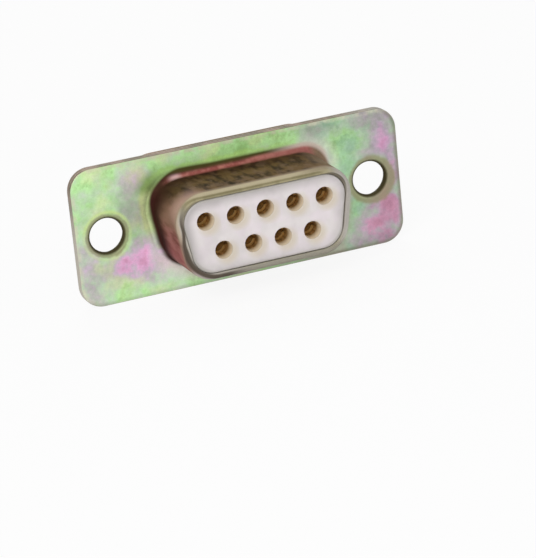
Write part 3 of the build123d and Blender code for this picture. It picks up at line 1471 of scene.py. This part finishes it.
@dataclass
class Contacts:
    """The nine socket contacts and the hoods over their front halves."""

    layout: ContactLayout
    radius: float = 0.82
    tip: float = -4.47
    wire_end: float = 7.48
    socket_radius: float = 0.53
    socket_depth: float = 4.80
    well_radius: float = 0.60
    well_depth: float = 3.10
    slot_width: float = 0.22
    slot_length: float = 4.20
    slot_corner: float = 0.02
    slot_overrun: float = 0.5
    edge: float = 0.07
    hood_wall: float = 0.13
    hood_step: float = 0.004
    hood_front: float = -5.22
    hood_back: float = 1.98

    def gold(self) -> GoldFinish:
        """Gold with an orange, a blue and a grey ring from the wire end on.

        Returns:
            The finish.
        """
        end = self.wire_end
        bands = (
            Band((206, 92, 40), end - 1.8, end + 0.2),
            Band((58, 78, 132), end - 3.0, end - 1.8),
            Band((120, 120, 118), end - 4.2, end - 3.0),
        )
        return GoldFinish("gold_plate", bands, self.hood_back, self.tip)

    def contact(self) -> bpy.types.Mesh:
        """A contact on the middle axis, split for the pin.

        The cross-section runs from the floor of the pin's bore out over the round tip, along the outside,
        over the round wire end and down to the floor of the wire's well.

        Returns:
            The mesh.
        """
        edge = self.edge
        corners = [
            (self.socket_radius, self.tip + self.socket_depth, 0.0),
            (self.socket_radius, self.tip, edge),
            (self.radius, self.tip, edge),
            (self.radius, self.wire_end, edge),
            (self.well_radius, self.wire_end, edge),
            (self.well_radius, self.wire_end - self.well_depth, 0.0),
        ]
        body = turned([(0.0, 0.0)], *rounded(corners, EDGE_STEPS))
        blade = RoundedD(4 * self.radius, self.slot_width, self.slot_corner)
        ends = [self.tip - self.slot_overrun, self.tip + self.slot_length]
        slot = Profile().add(blade, [0.0, 0.0], ends).solid()
        return cut_mesh(body, slot, "contact_turned")

    def hood(self, place: Place) -> Solid:
        """A sleeve with a round front edge.

        Args:
            place: Its axis, as (x, z).

        Returns:
            The sleeve.
        """
        edge = 0.5 * self.hood_wall
        inner, outer = self.radius + self.hood_step, self.radius + self.hood_wall
        corners = [
            (outer, self.hood_back, 0.0),
            (outer, self.hood_front, edge),
            (inner, self.hood_front, edge),
            (inner, self.hood_back, 0.0),
        ]
        return turned([place], *rounded(corners, EDGE_STEPS), ring=True)

    def build(self) -> None:
        """Makes every contact and hood at its place."""
        gold, steel = self.gold().material(), SteelFinish("hood_steel").material()
        pattern = self.contact()
        for number, (x, z) in enumerate(self.layout.places(), start=1):
            mesh = pattern.copy()
            mesh.transform(Matrix.Translation((x, 0.0, z)))
            finished(mesh, f"contact_{number}_turned", gold, Slot.CONTACT, f"contact_{number}")
            hood = self.hood((x, z)).mesh("hood")
            finished(hood, f"contact_hood_{number}_sleeve", steel, Slot.HOOD, f"contact_hood_{number}")
        bpy.data.meshes.remove(pattern)


@dataclass(frozen=True)
class Lamp:
    """A square soft light.

    Attributes:
        name: Its name.
        place: Where it stands.
        size: Length of its side.
        power: Its power in watts.
    """

    name: str
    place: tuple[float, float, float]
    size: float
    power: float

    def build(self) -> None:
        """Adds the light, turned to the connector."""
        light = bpy.data.lights.new(self.name, "AREA")
        light.shape = "SQUARE"
        light.size = self.size * MILLIMETRE
        light.energy = self.power
        lamp = bpy.data.objects.new(self.name, light)
        lamp.location = Vector(self.place) * MILLIMETRE
        lamp.rotation_euler = (-lamp.location).to_track_quat("-Z", "Y").to_euler()
        bpy.context.scene.collection.objects.link(lamp)


@dataclass
class Studio:
    """Floor, light and camera.

    Attributes:
        floor_level: Height of the floor.
        floor_half: Half the floor's side.
        floor_steps: Into how many squares a side of the floor is divided.
        floor_grey: How much light the floor throws back.
        floor_glow: How far the floor is plain white to the eye.
        camera_place: Where the camera stands.
        camera_turn: Its turns about X, Y and Z, in degrees.
        lens: Its focal length.
        sensor: Width of its sensor, along the longer side of the picture.
        near: Where its view starts.
        ambient: Strength of the surroundings as light, where one is white.
        lamps: The lights.
    """

    floor_level: float = -6.285
    floor_half: float = 1500.0
    floor_steps: int = 8
    floor_grey: float = 0.86
    floor_glow: float = 0.9
    camera_place: tuple[float, float, float] = (-92.94, -251.72, 84.72)
    camera_turn: tuple[float, float, float] = (71.052, 5.553, -22.542)
    lens: float = 206.75
    sensor: float = 36.0
    near: float = 10.0
    ambient: float = 0.45
    lamps: tuple[Lamp, ...] = (
        Lamp("key", (-210.0, -260.0, 260.0), 180.0, 0.62),
        Lamp("front", (-120.0, -320.0, 110.0), 120.0, 0.25),
        Lamp("fill", (280.0, -260.0, 90.0), 220.0, 0.2),
        Lamp("back", (60.0, 240.0, 260.0), 200.0, 0.3),
    )

    def floor(self) -> None:
        """A wide flat floor, white to the eye, that keeps a soft shadow."""
        steps, columns = self.floor_steps, self.floor_steps + 1
        side = np.linspace(-self.floor_half, self.floor_half, columns)
        across, deep = np.meshgrid(side, side)
        vertices = np.stack([across, deep, np.full_like(across, self.floor_level)], axis=-1).reshape(-1, 3)
        corner = np.arange(steps)[:, None] * columns + np.arange(steps)[None, :]
        corners = [corner, corner + 1, corner + columns + 1, corner + columns]
        faces = np.stack(corners, axis=-1).reshape(-1, 4)
        mesh = bpy.data.meshes.new("floor")
        mesh.from_pydata((vertices * MILLIMETRE).tolist(), [], faces.tolist())
        paint = Paint("floor_white")
        grey = (self.floor_grey, self.floor_grey, self.floor_grey, 1.0)
        diffuse = paint.make("ShaderNodeBsdfDiffuse", {}, {"Color": grey})
        glow = paint.make("ShaderNodeEmission", {}, {"Color": WHITE, "Strength": 1.0})
        share = self.floor_glow * paint.seen_directly()
        mixed = paint.make("ShaderNodeMixShader", {}, {0: share, 1: diffuse, 2: glow})
        paint.make("ShaderNodeOutputMaterial", {}, {"Surface": mixed})
        mesh.materials.append(paint.material)
        floor = bpy.data.objects.new("floor", mesh)
        bpy.context.scene.collection.objects.link(floor)

    def world(self) -> None:
        """White surroundings that light the connector less than they shine for the eye."""
        world = bpy.data.worlds.new("surroundings")
        bpy.context.scene.world = world
        graph = Graph(world)
        level = self.ambient + (1.0 - self.ambient) * graph.seen_directly()
        shine = graph.make("ShaderNodeBackground", {}, {"Color": WHITE, "Strength": level})
        graph.make("ShaderNodeOutputWorld", {}, {"Surface": shine})

    def camera(self) -> None:
        """The camera, far off and narrow, as the connector was seen."""
        data = bpy.data.cameras.new("camera")
        data.lens = self.lens
        data.sensor_width = self.sensor
        data.clip_start = self.near * MILLIMETRE
        camera = bpy.data.objects.new("camera", data)
        camera.location = Vector(self.camera_place) * MILLIMETRE
        camera.rotation_euler = Euler([radians(angle) for angle in self.camera_turn])
        bpy.context.scene.collection.objects.link(camera)
        bpy.context.scene.camera = camera

    def build(self) -> None:
        """Sets up the whole studio."""
        bpy.context.scene.view_settings.view_transform = "Standard"
        self.floor()
        self.world()
        self.camera()
        for lamp in self.lamps:
            lamp.build()


def main() -> None:
    """Builds the connector in its frame, then the studio around it."""
    logging.basicConfig(level=logging.INFO, format="%(message)s")
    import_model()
    flange = RoundedD(width=30.81, height=12.55, radius=2.0)
    front = RoundedD(width=16.33, height=7.90, radius=2.60, lean=10.0)
    rear = RoundedD(width=19.28, height=10.72, radius=3.20, lean=10.0)
    layout = ContactLayout()
    Shells(flange, front, rear).build()
    Insulators(front, rear, layout).build()
    Contacts(layout).build()
    Studio().build()


if __name__ == "__main__":
    main()
